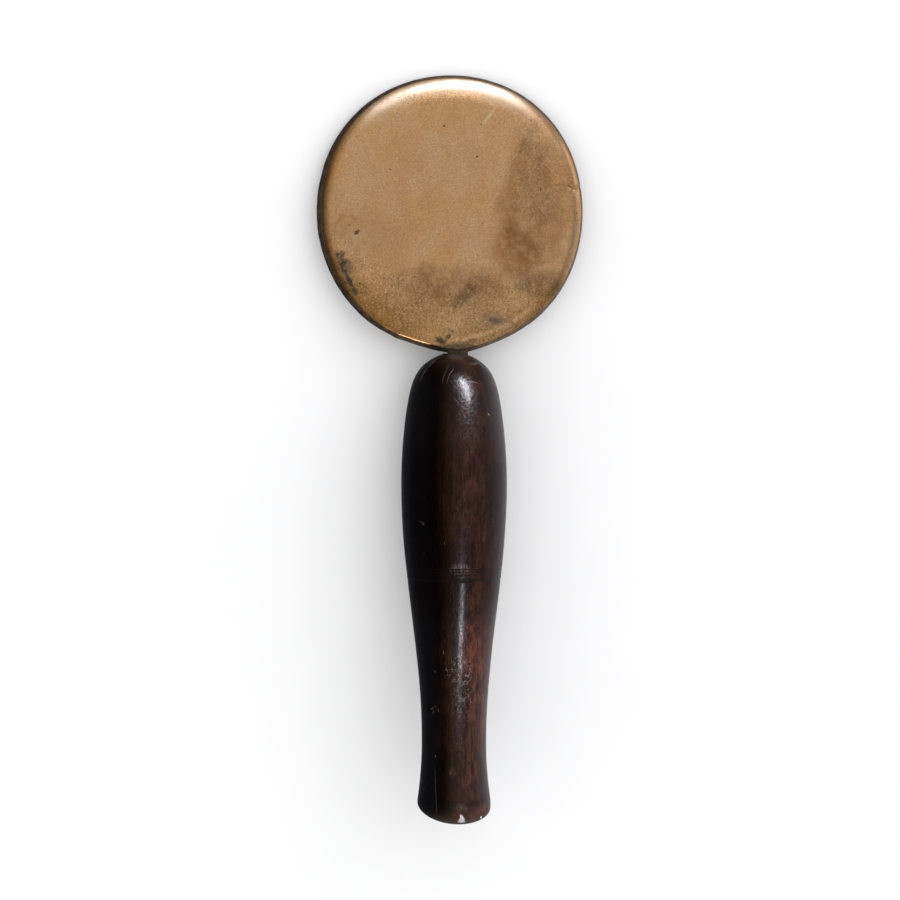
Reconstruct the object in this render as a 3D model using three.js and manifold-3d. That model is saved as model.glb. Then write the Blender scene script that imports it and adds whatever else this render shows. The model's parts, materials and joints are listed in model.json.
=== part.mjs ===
// A hand mirror: a cast bronze disc, polished on its face, with a flat tang let into a turned
// hardwood handle. Millimetres, +Z up. It lies on its back on a level surface with the polished
// face up, held by the far edge of the disc and by the underside of the handle.
//
// The mirror's own axes, before it is laid down: Y runs along the handle towards the disc, with
// y = 0 at the handle's top, and Z leaves the polished face.

import * as THREE from 'three';
import { mergeVertices } from 'three/addons/utils/BufferGeometryUtils.js';
import Module from 'manifold-3d';

const wasm = await Module();
wasm.setup();

const DEGREE = Math.PI / 180;

// ---- Driving dimensions, in millimetres and degrees ----

const disc = {
  radius: 49.07, // mean radius at the back edge, the widest line of the casting
  // How the cast rim departs from a circle: waves round it, their height and where one crests.
  waves: [
    { count: 1, height: 0.23, crest: -91 },
    { count: 2, height: 0.46, crest: 81 },
    { count: 3, height: 0.165, crest: 53 },
    { count: 4, height: 0.27, crest: 43 },
  ],
  point: 1.6, // how far the rim is drawn out to the tang
  pointSpread: 12.7, // degrees either side of the tang
  thickness: 4.9, // at the centre
  crown: 0.6, // how much lower the convex face is at the rim than at the centre
  bevel: 0.3, // broken edge of the flat back
  wallInset: 1.1, // the side wall leans in by this much from back to front
  shoulderWidth: 5, // rounded border of the face
  shoulderDrop: 1.1,
  shoulderPower: 2.3, // higher is a flatter start and a steeper end
  arris: 0.45, // softening of the edge between shoulder and side wall
};

const tang = {
  width: 7.6, // at the neck
  tipWidth: 4.6,
  thickness: 2.4, // it lies flush with the flat back
  tipThickness: 1.8,
  depth: 38, // below the handle's top
  root: 8, // how far it runs on inside the disc
};

const handle = {
  length: 169.4,
  bellyRadius: 19.07,
  bellyAt: 47.2, // from the top, as are the other places along the handle
  bellyCurve: 0.0026, // slow rounding of the upper belly, per millimetre
  noseDrop: 9.6, // quick rounding of the nose
  noseRun: 3.7,
  waistRadius: 11.66,
  waistAt: 140,
  footRadius: 13.25,
  footAt: 160.5,
  footEdge: 162.2, // where the rounded end begins
  endLean: 4, // degrees by which the rounded end was turned off square
};

// Lines scribed round the handle while it turned in the lathe.
const scribedLines = [
  { at: 77.3, halfWidth: 0.35, depth: 0.2 },
  { at: 78.35, halfWidth: 0.35, depth: 0.2 },
  { at: 79.4, halfWidth: 0.35, depth: 0.2 },
  { at: 81.2, halfWidth: 0.8, depth: 0.25 },
];

const fit = {
  clearance: 0.3, // between tang and socket
  neckGap: 0.2, // between the disc's lowest point and the handle's top
  neckOffset: 1.37, // the tang enters this far to the right of the handle's axis
  lean: 2.75, // degrees by which the disc leans to the left of the handle's axis
  backBelowAxis: 1.2, // the disc's flat back lies this far behind the handle's axis
  flatDepth: 0.25, // flat spot on the underside of the handle
};

const steps = { rim: 120, turned: 56, nose: 13, taper: 12, flare: 4, end: 6, shoulder: 6, face: 2 };

// ---- Solids and booleans ----

// A closed three.js geometry as a solid, with its shared vertices merged.
function toSolid(geometry) {
  geometry.deleteAttribute('normal');
  geometry.deleteAttribute('uv');
  const welded = mergeVertices(geometry);
  const corners = welded.index.array;
  const triangles = [];
  for (let i = 0; i < corners.length; i += 3) {
    const [a, b, c] = corners.slice(i, i + 3);
    if (a !== b && b !== c && c !== a) triangles.push(a, b, c);
  }
  return new wasm.Manifold(new wasm.Mesh({
    numProp: 3,
    vertProperties: welded.getAttribute('position').array,
    triVerts: new Uint32Array(triangles),
  }));
}

function toGeometry(solid) {
  const mesh = solid.getMesh();
  const geometry = new THREE.BufferGeometry();
  geometry.setAttribute('position', new THREE.BufferAttribute(mesh.vertProperties, 3));
  geometry.setIndex(new THREE.BufferAttribute(mesh.triVerts, 1));
  geometry.computeVertexNormals();
  return geometry;
}

// Moves every vertex of a geometry by move(vertex).
function reshape(geometry, move) {
  const position = geometry.getAttribute('position');
  const vertex = new THREE.Vector3();
  for (let i = 0; i < position.count; i++) {
    vertex.fromBufferAttribute(position, i);
    move(vertex);
    position.setXYZ(i, vertex.x, vertex.y, vertex.z);
  }
  return geometry;
}

const clamp01 = (value) => THREE.MathUtils.clamp(value, 0, 1);

// ---- The bronze disc: centre at the origin, flat back on z = 0, tang along -Y ----

// How far the rim stands out from the mean radius, at an angle in degrees from +X.
function rimDeparture(angle) {
  let sum = 0;
  for (const { count, height, crest } of disc.waves) {
    sum += height * Math.cos(count * (angle - crest) * DEGREE);
  }
  const fromTang = THREE.MathUtils.euclideanModulo(angle + 90 + 180, 360) - 180;
  return sum + disc.point * Math.exp(-((fromTang / disc.pointSpread) ** 2));
}

const rimRadius = (angle) => disc.radius + rimDeparture(angle);
const wallTop = disc.radius - disc.wallInset;

// Height of the polished side above the flat back, at a distance from the centre.
function faceHeight(radius) {
  const shoulder = clamp01((radius - wallTop + disc.shoulderWidth) / disc.shoulderWidth);
  return disc.thickness - disc.crown * (radius / disc.radius) ** 2
    - disc.shoulderDrop * shoulder ** disc.shoulderPower;
}

// Half section of the disc, from the middle of the back round the rim to the middle of the face.
function discProfile() {
  const corner = new THREE.Vector2(wallTop, faceHeight(wallTop));
  const wallFoot = new THREE.Vector2(disc.radius, disc.bevel);
  const wallEnd = corner.clone().lerp(wallFoot, disc.arris / corner.distanceTo(wallFoot));
  const shoulderStart = new THREE.Vector2(wallTop - disc.arris, faceHeight(wallTop - disc.arris));
  const profile = [new THREE.Vector2(0, 0), new THREE.Vector2(disc.radius - disc.bevel, 0), wallFoot];
  profile.push(...new THREE.QuadraticBezierCurve(wallEnd, corner, shoulderStart).getPoints(2));
  const shoulderRun = disc.shoulderWidth - disc.arris;
  for (let i = 1; i <= steps.shoulder; i++) {
    const radius = shoulderStart.x - shoulderRun * (i / steps.shoulder) ** 1.2;
    profile.push(new THREE.Vector2(radius, faceHeight(radius)));
  }
  const faceRadius = wallTop - disc.shoulderWidth;
  for (let i = 1; i <= steps.face; i++) {
    const radius = faceRadius * (1 - i / steps.face);
    profile.push(new THREE.Vector2(radius, faceHeight(radius)));
  }
  return profile;
}

// The tang, or with a clearance the socket that it goes in: flat, tapering in width and thickness.
function tangGeometry(clearance) {
  const top = tang.root - rimRadius(-90);
  const bottom = -rimRadius(-90) - fit.neckGap - tang.depth - clearance;
  const bar = new THREE.BoxGeometry(1, 1, 1);
  return reshape(bar, (vertex) => {
    const down = 0.5 - vertex.y;
    const width = THREE.MathUtils.lerp(tang.width, tang.tipWidth, down) + 2 * clearance;
    const thickness = THREE.MathUtils.lerp(tang.thickness, tang.tipThickness, down);
    const front = vertex.z > 0 ? thickness + clearance : -clearance;
    vertex.set(vertex.x * width, THREE.MathUtils.lerp(top, bottom, down), front);
  });
}

function mirrorDisc() {
  const plate = new THREE.LatheGeometry(discProfile(), steps.rim).rotateX(90 * DEGREE);
  reshape(plate, (vertex) => {
    const radius = Math.hypot(vertex.x, vertex.y);
    const angle = Math.atan2(vertex.y, vertex.x) / DEGREE;
    const grown = 1 + rimDeparture(angle) * radius ** 2 / disc.radius ** 3;
    vertex.x *= grown;
    vertex.y *= grown;
  });
  const geometry = toGeometry(toSolid(plate).add(toSolid(tangGeometry(0))));
  const bronze = new THREE.MeshStandardMaterial({ color: 0xa8855c, roughness: 0.38, metalness: 1 });
  const mesh = new THREE.Mesh(geometry, bronze);
  mesh.name = 'mirror_disc';
  return mesh;
}

// ---- The turned handle: axis along Y, top at y = 0, running down to -Y ----

// Radius of the turned handle at a distance from its top, scribed lines aside.
function handleRadius(along) {
  if (along <= handle.bellyAt) {
    const slow = handle.bellyCurve * (handle.bellyAt - along) ** 2;
    return handle.bellyRadius - slow - handle.noseDrop * Math.exp(-along / handle.noseRun);
  }
  if (along <= handle.waistAt) {
    const run = (along - handle.bellyAt) / (handle.waistAt - handle.bellyAt);
    const share = (1 + Math.cos(Math.PI * run)) / 2;
    return THREE.MathUtils.lerp(handle.waistRadius, handle.bellyRadius, share);
  }
  if (along <= handle.footEdge) {
    const run = clamp01((along - handle.waistAt) / (handle.footAt - handle.waistAt));
    return THREE.MathUtils.lerp(handle.waistRadius, handle.footRadius, run ** 2);
  }
  const run = (along - handle.footEdge) / (handle.length - handle.footEdge);
  return handle.footRadius * Math.sqrt(Math.max(0, 1 - run ** 2));
}

// Distances from the top at which the handle's section has a corner.
function handleStations() {
  const stations = [];
  for (let i = 0; i <= steps.nose; i++) {
    stations.push(handle.bellyAt * (i / steps.nose) ** 1.8);
  }
  for (let i = 1; i <= steps.taper; i++) {
    stations.push(THREE.MathUtils.lerp(handle.bellyAt, handle.waistAt, i / steps.taper));
  }
  for (let i = 1; i <= steps.flare; i++) {
    stations.push(THREE.MathUtils.lerp(handle.waistAt, handle.footAt, i / steps.flare));
  }
  for (let i = 0; i < steps.end; i++) {
    const angle = (i / steps.end) * 90 * DEGREE;
    stations.push(THREE.MathUtils.lerp(handle.footEdge, handle.length, Math.sin(angle)));
  }
  return stations;
}

function handleProfile() {
  const first = scribedLines[0];
  const last = scribedLines[scribedLines.length - 1];
  const outsideLines = (along) => along < first.at - 1 || along > last.at + last.halfWidth + 1;
  const corners = handleStations().filter(outsideLines).map((at) => ({ at, depth: 0 }));
  for (const { at, halfWidth, depth } of scribedLines) {
    corners.push({ at: at - halfWidth, depth: 0 }, { at, depth }, { at: at + halfWidth, depth: 0 });
  }
  corners.sort((a, b) => b.at - a.at);
  const profile = corners.map(({ at, depth }) => new THREE.Vector2(handleRadius(at) - depth, -at));
  return [new THREE.Vector2(0, -handle.length), ...profile, new THREE.Vector2(0, 0)];
}

function turnedHandle(socket, tableBlock) {
  const wood = new THREE.LatheGeometry(handleProfile(), steps.turned);
  const slope = Math.tan(handle.endLean * DEGREE);
  reshape(wood, (vertex) => {
    const intoEnd = clamp01((-vertex.y - handle.footAt) / (handle.footEdge - handle.footAt));
    vertex.y -= vertex.x * slope * intoEnd;
  });
  const geometry = toGeometry(toSolid(wood).subtract(socket).subtract(tableBlock));
  const hardwood = new THREE.MeshStandardMaterial({ color: 0x2e1d18, roughness: 0.35, metalness: 0 });
  const mesh = new THREE.Mesh(geometry, hardwood);
  mesh.name = 'handle';
  return mesh;
}

// ---- Assembly ----

// Height that a point of the mirror's own middle plane has once the disc end dips by a tilt.
const laidHeight = (y, z, tilt) => z * Math.cos(tilt) - y * Math.sin(tilt);

// The tilt at which the far edge of the disc and the flat spot of the handle meet one level.
function restingTilt(farEdge) {
  const handleLow = (tilt) => {
    const heights = handleStations().map((at) => laidHeight(-at, -handleRadius(at), tilt));
    return Math.min(...heights);
  };
  const edgeLow = (tilt) => laidHeight(farEdge, -fit.backBelowAxis, tilt);
  let low = 0;
  let high = 20 * DEGREE;
  for (let i = 0; i < 40; i++) {
    const middle = (low + high) / 2;
    if (handleLow(middle) < edgeLow(middle) - fit.flatDepth) low = middle;
    else high = middle;
  }
  return { tilt: low, ground: edgeLow(low) };
}

const discSeat = new THREE.Group();
discSeat.position.set(fit.neckOffset, 0, -fit.backBelowAxis);
discSeat.rotation.z = fit.lean * DEGREE;
const discMesh = mirrorDisc();
discMesh.position.y = rimRadius(-90) + fit.neckGap;
discSeat.add(discMesh);
discSeat.updateMatrixWorld(true);

const socket = toSolid(tangGeometry(fit.clearance).applyMatrix4(discMesh.matrixWorld));

const centreToFarEdge = rimRadius(90 - fit.lean) - disc.bevel;
const farEdge = discMesh.getWorldPosition(new THREE.Vector3()).y + centreToFarEdge;
const { tilt, ground } = restingTilt(farEdge);

// Everything of the handle under the level of the table is cut away, which leaves a flat spot.
const blockSize = 400;
const tableBlock = toSolid(new THREE.BoxGeometry(blockSize, blockSize, blockSize)
  .translate(0, 0, ground - blockSize / 2).rotateX(tilt));

const laidMirror = new THREE.Group();
laidMirror.rotation.x = -tilt;
laidMirror.add(discSeat, turnedHandle(socket, tableBlock));

// The origin is the middle of the mirror's bounding box, at the level of the table.
const box = new THREE.Box3().setFromObject(laidMirror, true);
const middle = box.getCenter(new THREE.Vector3());
laidMirror.position.set(-middle.x, -middle.y, -box.min.z);

const mirror = new THREE.Group();
mirror.name = 'bronze_mirror';
mirror.add(laidMirror);

export default mirror;
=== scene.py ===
"""The looks of a bronze hand mirror: a polished disc with old stains, set in a dark turned handle.

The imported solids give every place. Shapes are worked out in millimetres, in the axes of each
piece, and one matrix per piece carries them into the frame's metres.
"""

import json
import math

import bpy
import numpy as np
from mathutils import Matrix, Vector


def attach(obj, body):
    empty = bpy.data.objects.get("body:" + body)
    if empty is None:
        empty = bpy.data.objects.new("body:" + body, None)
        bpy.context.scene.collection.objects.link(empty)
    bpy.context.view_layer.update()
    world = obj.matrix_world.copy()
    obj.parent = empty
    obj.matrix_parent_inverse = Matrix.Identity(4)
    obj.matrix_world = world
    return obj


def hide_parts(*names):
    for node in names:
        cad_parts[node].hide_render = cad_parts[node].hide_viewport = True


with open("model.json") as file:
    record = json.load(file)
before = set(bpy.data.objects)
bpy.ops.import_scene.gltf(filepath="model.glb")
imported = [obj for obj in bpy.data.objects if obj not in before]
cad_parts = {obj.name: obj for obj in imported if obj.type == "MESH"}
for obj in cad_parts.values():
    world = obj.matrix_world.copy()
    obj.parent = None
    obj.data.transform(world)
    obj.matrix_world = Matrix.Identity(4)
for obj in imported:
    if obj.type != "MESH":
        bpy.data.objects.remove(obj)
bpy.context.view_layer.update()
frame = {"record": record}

METRES = 0.001  # one millimetre

# ---- Driving dimensions, in millimetres and degrees, as on the solids ----

DISC_RADIUS = 49.07
RIM_WAVES = (  # waves round the rim, their height, the angle of a crest
    (1, 0.23, -91),
    (2, 0.46, 81),
    (3, 0.165, 53),
    (4, 0.27, 43),
)
TANG_AT = -90.0
RIM_POINT = 1.6
RIM_POINT_SPREAD = 12.7
DISC_THICKNESS = 4.9
FACE_CROWN = 0.6
BACK_BEVEL = 0.3
WALL_INSET = 1.1
SHOULDER_WIDTH = 5.0
SHOULDER_DROP = 1.1
SHOULDER_POWER = 2.3
ARRIS = 0.45

TANG_WIDTH, TANG_TIP_WIDTH = 7.6, 4.6
TANG_THICKNESS, TANG_TIP_THICKNESS = 2.4, 1.8
TANG_DEPTH = 38.0
TANG_ROOT = 8.0

HANDLE_LENGTH = 169.4
BELLY_RADIUS, BELLY_AT, BELLY_CURVE = 19.07, 47.2, 0.0026
NOSE_DROP, NOSE_RUN = 9.6, 3.7
WAIST_RADIUS, WAIST_AT = 11.66, 140.0
FOOT_RADIUS, FOOT_AT, FOOT_EDGE = 13.25, 160.5, 162.2
END_LEAN = 4.0
SCRIBED_LINES = ((77.3, 0.35, 0.2), (78.35, 0.35, 0.2), (79.4, 0.35, 0.2), (81.2, 0.8, 0.25))

NECK_GAP = 0.2
NECK_OFFSET = 1.37
LEAN = 2.75
BACK_BELOW_AXIS = 1.2
CLEARANCE = 0.3
HANDLE_ROLL = 7.5

# ---- Outlines ----


def angle_from(angle, at):
    """Difference between angles in degrees, from -180 to 180."""
    return (angle - at + 180) % 360 - 180


def rim_departure(angle):
    """How far the rim stands out from the mean radius, at angles in degrees from +X."""
    total = np.zeros_like(angle, dtype=float)
    for count, height, crest in RIM_WAVES:
        total += height * np.cos(np.radians(count * (angle - crest)))
    from_tang = angle_from(angle, TANG_AT)
    return total + RIM_POINT * np.exp(-((from_tang / RIM_POINT_SPREAD) ** 2))


def face_height(radius):
    """Height of the polished side above the flat back."""
    inner = DISC_RADIUS - WALL_INSET - SHOULDER_WIDTH
    shoulder = np.clip((radius - inner) / SHOULDER_WIDTH, 0, 1)
    crown = FACE_CROWN * (radius / DISC_RADIUS) ** 2
    return DISC_THICKNESS - crown - SHOULDER_DROP * shoulder**SHOULDER_POWER


def handle_radius(along):
    """Radius of the turned handle at a distance from its top, scribed lines aside."""
    slow = BELLY_CURVE * (BELLY_AT - along) ** 2
    nose = BELLY_RADIUS - slow - NOSE_DROP * np.exp(-along / NOSE_RUN)
    run = (along - BELLY_AT) / (WAIST_AT - BELLY_AT)
    share = (1 + np.cos(np.pi * run)) / 2
    taper = WAIST_RADIUS + (BELLY_RADIUS - WAIST_RADIUS) * share
    run = np.clip((along - WAIST_AT) / (FOOT_AT - WAIST_AT), 0, 1)
    flare = WAIST_RADIUS + (FOOT_RADIUS - WAIST_RADIUS) * run**2
    run = np.clip((along - FOOT_EDGE) / (HANDLE_LENGTH - FOOT_EDGE), 0, 1)
    end = FOOT_RADIUS * np.sqrt(1 - run**2)
    places = [along <= BELLY_AT, along <= WAIST_AT, along <= FOOT_EDGE]
    return np.select(places, [nose, taper, flare], end)


RIM_TO_NECK = float(rim_departure(np.array([TANG_AT]))[0]) + DISC_RADIUS

# ---- Where the pieces lie ----

mounts = {mount["name"]: mount for mount in frame["record"]["mounts"]}
face_normal = -Vector(mounts["disc_back"]["axis"])
disc_centre = Vector(mounts["disc_back"]["pos_m"])
laid = Matrix.Rotation(-math.atan2(face_normal.y, face_normal.z), 4, "X")
disc_turn = laid @ Matrix.Rotation(math.radians(LEAN), 4, "Z")
disc_axes = Matrix.Translation(disc_centre) @ disc_turn @ Matrix.Scale(METRES, 4)
neck = disc_axes @ Vector((0, -RIM_TO_NECK - NECK_GAP, 0))
handle_top = neck - METRES * (laid @ Vector((NECK_OFFSET, 0, -BACK_BELOW_AXIS)))
# the wood's marks are counted from the side of the handle that is turned up and a little left
handle_turn = laid @ Matrix.Rotation(math.radians(-HANDLE_ROLL), 4, "Y")
handle_axes = Matrix.Translation(handle_top) @ handle_turn @ Matrix.Scale(METRES, 4)

# ---- Mesh helpers ----

SWELL_WAVES = 16


def swell(points, wavelength, seed):
    """Smooth undulation of about the given wavelength, mostly between -1 and 1."""
    random = np.random.default_rng(seed)
    heading = random.normal(size=(SWELL_WAVES, 3))
    heading /= np.linalg.norm(heading, axis=1)[:, None]
    length = wavelength * random.uniform(0.7, 1.5, SWELL_WAVES)
    phase = random.uniform(0, 2 * np.pi, SWELL_WAVES)
    total = np.zeros(len(points))
    for i in range(SWELL_WAVES):
        total += np.sin(points @ heading[i] * 2 * np.pi / length[i] + phase[i])
    return total * math.sqrt(2 / SWELL_WAVES) / 2


def waves(points, height, wavelength, seed):
    return height * swell(points, wavelength, seed)


def uneven(points, depth, wavelength, seed):
    """An uneven depth, mostly between none and twice the depth given."""
    return depth * (1 + swell(points, wavelength, seed))


def stitch(rings):
    """Faces of a closed surface through rings of points, from one pole to the other."""
    faces = []
    first = 0
    for ring, following in zip(rings, rings[1:]):
        start = first + len(ring)
        count, next_count = len(ring), len(following)
        i = j = 0
        while i < count or j < next_count:
            here = first + i % count
            there = start + j % next_count
            if j == next_count or (i < count and (i + 1) * next_count <= (j + 1) * count):
                i += 1
                face = (here, there, first + i % count)
            else:
                j += 1
                face = (here, there, start + j % next_count)
            if len(set(face)) == 3:
                faces.append(face)
        first = start
    return faces


def make_piece(name, points, faces, axes):
    """A smooth mesh in the frame's metres from points in a piece's own millimetres."""
    turn = np.array(axes.to_3x3())
    placed = points @ turn.T + np.array(axes.translation)
    placed[:, 2] = np.maximum(placed[:, 2], 0)  # nothing goes into the floor
    mesh = bpy.data.meshes.new(name)
    mesh.from_pydata(placed.tolist(), [], faces)
    mesh.polygons.foreach_set("use_smooth", [True] * len(mesh.polygons))
    piece = bpy.data.objects.new(name, mesh)
    bpy.context.scene.collection.objects.link(piece)
    return piece


def combine(piece, other, operation):
    """Joins other to piece, or cuts it out, and deletes other."""
    cut = piece.modifiers.new(operation, "BOOLEAN")
    cut.operation = operation
    cut.solver = "EXACT"
    cut.object = other
    evaluated = piece.evaluated_get(bpy.context.evaluated_depsgraph_get())
    joined = bpy.data.meshes.new_from_object(evaluated)
    piece.modifiers.clear()
    piece.data = joined
    bpy.data.objects.remove(other)


def tang_bar(name, clearance):
    """The flat tapering tang, or with a clearance the socket that it goes in."""
    top = TANG_ROOT - RIM_TO_NECK
    bottom = -RIM_TO_NECK - NECK_GAP - TANG_DEPTH - clearance
    points = []
    for y, width, thickness in (
        (top, TANG_WIDTH, TANG_THICKNESS),
        (bottom, TANG_TIP_WIDTH, TANG_TIP_THICKNESS),
    ):
        half = width / 2 + clearance
        for x, z in ((-1, 0), (1, 0), (1, 1), (-1, 1)):
            points.append((x * half, y, thickness + clearance if z else -clearance))
    faces = [(0, 1, 2, 3), (7, 6, 5, 4)]
    faces += [(i, i + 4, (i + 1) % 4 + 4, (i + 1) % 4) for i in range(4)]
    return make_piece(name, np.array(points, float), faces, disc_axes)


# ---- The disc ----

FACE_RINGS = 140
BACK_RINGS = 56
ARRIS_STEPS, WALL_STEPS = 6, 5
RING_STEP = 6  # sides that a ring of the face has more than the ring inside it
RIM_WEAR_FROM = 0.8  # share of the radius from which the outline is worn

# Hand-made unevenness: height or depth, wavelength, seed.
RIM_CASTING, RIM_FILING = (0.025, 7, 11), (0.02, 2.5, 12)
FACE_WAVES, FACE_RIPPLES = (0.014, 17, 13), (0.006, 7, 14)
TOP_WAVES, BORDER_WAVES = (0.05, 11, 18), (0.06, 26, 15)
BACK_CASTING = (0.02, 12, 17)
# The border of the face: its width and how much of that rises, its mean lift, the worn top.
BORDER_WIDTH, BORDER_RISE, BORDER_LIFT = 9.5, 8.4, 0.08
TOP_WEAR, TOP_WEAR_AT, TOP_WEAR_SPREAD = 0.64, 86, 40
NECK_CRUST = (-0.5, -49.2, 5.0, 2.6)  # x, y, half widths
CRUST_HEIGHT, CRUST_LUMPS = 0.10, (0.12, 1.7, 16)

# Shallow dents of the face that are wide enough to see as shape: x, y, radius, depth.
FACE_DENTS = (
    (-1.4, 30.4, 0.8, 0.01),
    (9.9, 19.0, 0.8, 0.01),
    (11.9, 30.4, 1.2, 0.025),
    (-34.8, -6.4, 1.6, 0.02),
    (-21.7, 15.6, 0.8, 0.012),
    (32.5, 6.3, 0.7, 0.06),
    (-16.0, 41.4, 1.6, 0.03),
    (-3.0, 40.9, 2.2, 0.02),
    (2.0, 42.0, 1.4, 0.02),
    (36.5, -9.1, 1.4, 0.05),
    (30.1, -34.4, 1.0, 0.05),
    (-40.5, -17.8, 2.4, -0.08),
    (-38.5, -23.8, 2.0, -0.08),
    (43.2, 6.8, 0.8, 0.14),
    (45.2, 5.6, 0.9, 0.20),
)
# Lumps and flats of the outline: angle, half width in degrees, height.
RIM_LUMPS = ((232, 14, 0.25), (244, 2.2, 0.25), (187, 2.6, 0.12), (8, 1.0, -0.22), (163, 3.5, -0.15))


def disc_section():
    """Half section of the disc as (radius, height), from the face's middle round to the back's."""
    wall_top = DISC_RADIUS - WALL_INSET
    shoulder_start = wall_top - ARRIS
    section = []
    for i in range(FACE_RINGS + 1):
        radius = shoulder_start * i / FACE_RINGS
        section.append((radius, float(face_height(np.array(radius)))))
    corner = Vector((wall_top, float(face_height(np.array(wall_top)))))
    wall_foot = Vector((DISC_RADIUS, BACK_BEVEL))
    wall_end = corner.lerp(wall_foot, ARRIS / (corner - wall_foot).length)
    start = Vector(section[-1])
    for t in np.linspace(0, 1, ARRIS_STEPS + 1)[1:]:
        section.append(tuple(start.lerp(corner, t).lerp(corner.lerp(wall_end, t), t)))
    for t in np.linspace(0, 1, WALL_STEPS + 1)[1:]:
        section.append(tuple(wall_end.lerp(wall_foot, t)))
    section.append((DISC_RADIUS - 0.3 * BACK_BEVEL, 0.3 * BACK_BEVEL))
    section.append((DISC_RADIUS - BACK_BEVEL, 0.0))
    for i in range(1, BACK_RINGS + 1):
        section.append(((DISC_RADIUS - BACK_BEVEL) * (1 - i / BACK_RINGS), 0.0))
    return section


def wear_disc(points):
    """Hand-made unevenness: a worn rim, a gently waving face, dents, and crust at the neck."""
    radius = np.hypot(points[:, 0], points[:, 1])
    angle = np.degrees(np.arctan2(points[:, 1], points[:, 0])) % 360
    outward = points[:, :2] / np.maximum(radius, 1e-6)[:, None]
    near_rim = np.clip((radius / DISC_RADIUS - RIM_WEAR_FROM) / (1 - RIM_WEAR_FROM), 0, 1) ** 2
    shift = -uneven(points, *RIM_CASTING) - uneven(points, *RIM_FILING)
    for at, half_width, height in RIM_LUMPS:
        shift += height * np.exp(-((angle_from(angle, at) / half_width) ** 2))
    points[:, :2] += outward * (shift * near_rim)[:, None]

    # what follows lifts or lowers the face, and leaves the back to the last two lines
    face = np.clip(points[:, 2] - 0.4 * DISC_THICKNESS, 0, 1)
    flat = points * (1, 1, 0)
    lift = waves(flat, *FACE_WAVES) + waves(flat, *FACE_RIPPLES)
    # the border of the face is broader at the top than at the left
    border = np.clip((radius - DISC_RADIUS + BORDER_WIDTH) / BORDER_RISE, 0, 1)
    top = np.exp(-((angle_from(angle, TOP_WEAR_AT) / TOP_WEAR_SPREAD) ** 2))
    lift -= top * border**2 * (3 - 2 * border) * (TOP_WEAR + waves(flat, *TOP_WAVES))
    lift += border**2 * (BORDER_LIFT + waves(flat, *BORDER_WAVES))
    for x, y, half_width, depth in FACE_DENTS:
        away = np.hypot(points[:, 0] - x, points[:, 1] - y) / half_width
        lift -= depth * np.exp(-(away**2))
    x, y, half_x, half_y = NECK_CRUST
    crust = np.exp(-(((points[:, 0] - x) / half_x) ** 2) - ((points[:, 1] - y) / half_y) ** 2)
    lift += crust * (CRUST_HEIGHT + waves(points, *CRUST_LUMPS))
    points[:, 2] += face * lift
    back = np.clip(1 - points[:, 2] / 0.2, 0, 1) * (radius < DISC_RADIUS - 2)
    points[:, 2] += back * uneven(flat, *BACK_CASTING)


def make_disc():
    """The disc and its tang, one casting."""
    section = disc_section()
    rings = []
    for place, (radius, height) in enumerate(section):
        count = RING_STEP * min(place, FACE_RINGS)
        from_end = len(section) - 1 - place
        if from_end < BACK_RINGS:
            count = 2 * RING_STEP * from_end
        count = max(count, 1)
        angle = np.arange(count) * 2 * np.pi / count
        departure = rim_departure(np.degrees(angle)) * (radius / DISC_RADIUS) ** 3
        spread = radius + departure
        flat = [spread * np.cos(angle), spread * np.sin(angle), np.full(count, height)]
        rings.append(np.stack(flat, axis=1))
    points = np.concatenate(rings)
    wear_disc(points)
    disc = make_piece("bronze_disc", points, stitch(rings), disc_axes)
    combine(disc, tang_bar("tang", 0.0), "UNION")
    return disc


# ---- The handle ----

HANDLE_SIDES = 250
STATION_STEP = 0.55
NOSE_STATIONS, NOSE_CROWDING = 95, 1.4
LINE_STATIONS, EDGE_STATIONS, END_STATIONS = 56, 4, 22
LINE_MARGINS = (0.6, 1.2)
LINE_LEFT = 0.5  # share of the scribed lines' depth that wear has left

# Uneven turning: depth, wavelength, seed; the first is drawn out along the handle.
TURNING, TOOL_MARKS = (0.05, 16, 21), (0.012, 3.5, 22)
# Worn flats and dents on the front of the handle: x, distance from the top, half widths, depth.
HANDLE_DENTS = (
    (3.0, 12.0, 5.0, 9.0, 0.10),
    (-11.0, 61.2, 0.9, 1.4, 0.18),
    (1.6, 113.0, 5.0, 5.0, 0.05),
    (-8.0, 127.1, 1.2, 2.0, 0.08),
    (-1.3, 150.1, 1.6, 1.6, 0.10),
    (12.4, 22.0, 0.5, 0.6, 0.08),
    (2.0, 110.0, 5.0, 11.0, 0.07),
)


def handle_stations():
    """Distances from the top at which the handle has a ring of points."""
    nose = BELLY_AT * np.linspace(0, 1, NOSE_STATIONS) ** NOSE_CROWDING
    body = np.arange(BELLY_AT, FOOT_AT, STATION_STEP)[1:]
    lines_from = SCRIBED_LINES[0][0] - LINE_MARGINS[0]
    lines_to = SCRIBED_LINES[-1][0] + LINE_MARGINS[1]
    lines = np.linspace(lines_from, lines_to, LINE_STATIONS)
    edge = np.linspace(FOOT_AT, FOOT_EDGE, EDGE_STATIONS)
    turn = np.sin(np.linspace(0, np.pi / 2, END_STATIONS)[1:-1])
    end = FOOT_EDGE + (HANDLE_LENGTH - FOOT_EDGE) * turn
    return np.sort(np.concatenate([nose, body, lines, edge, end]))


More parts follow.
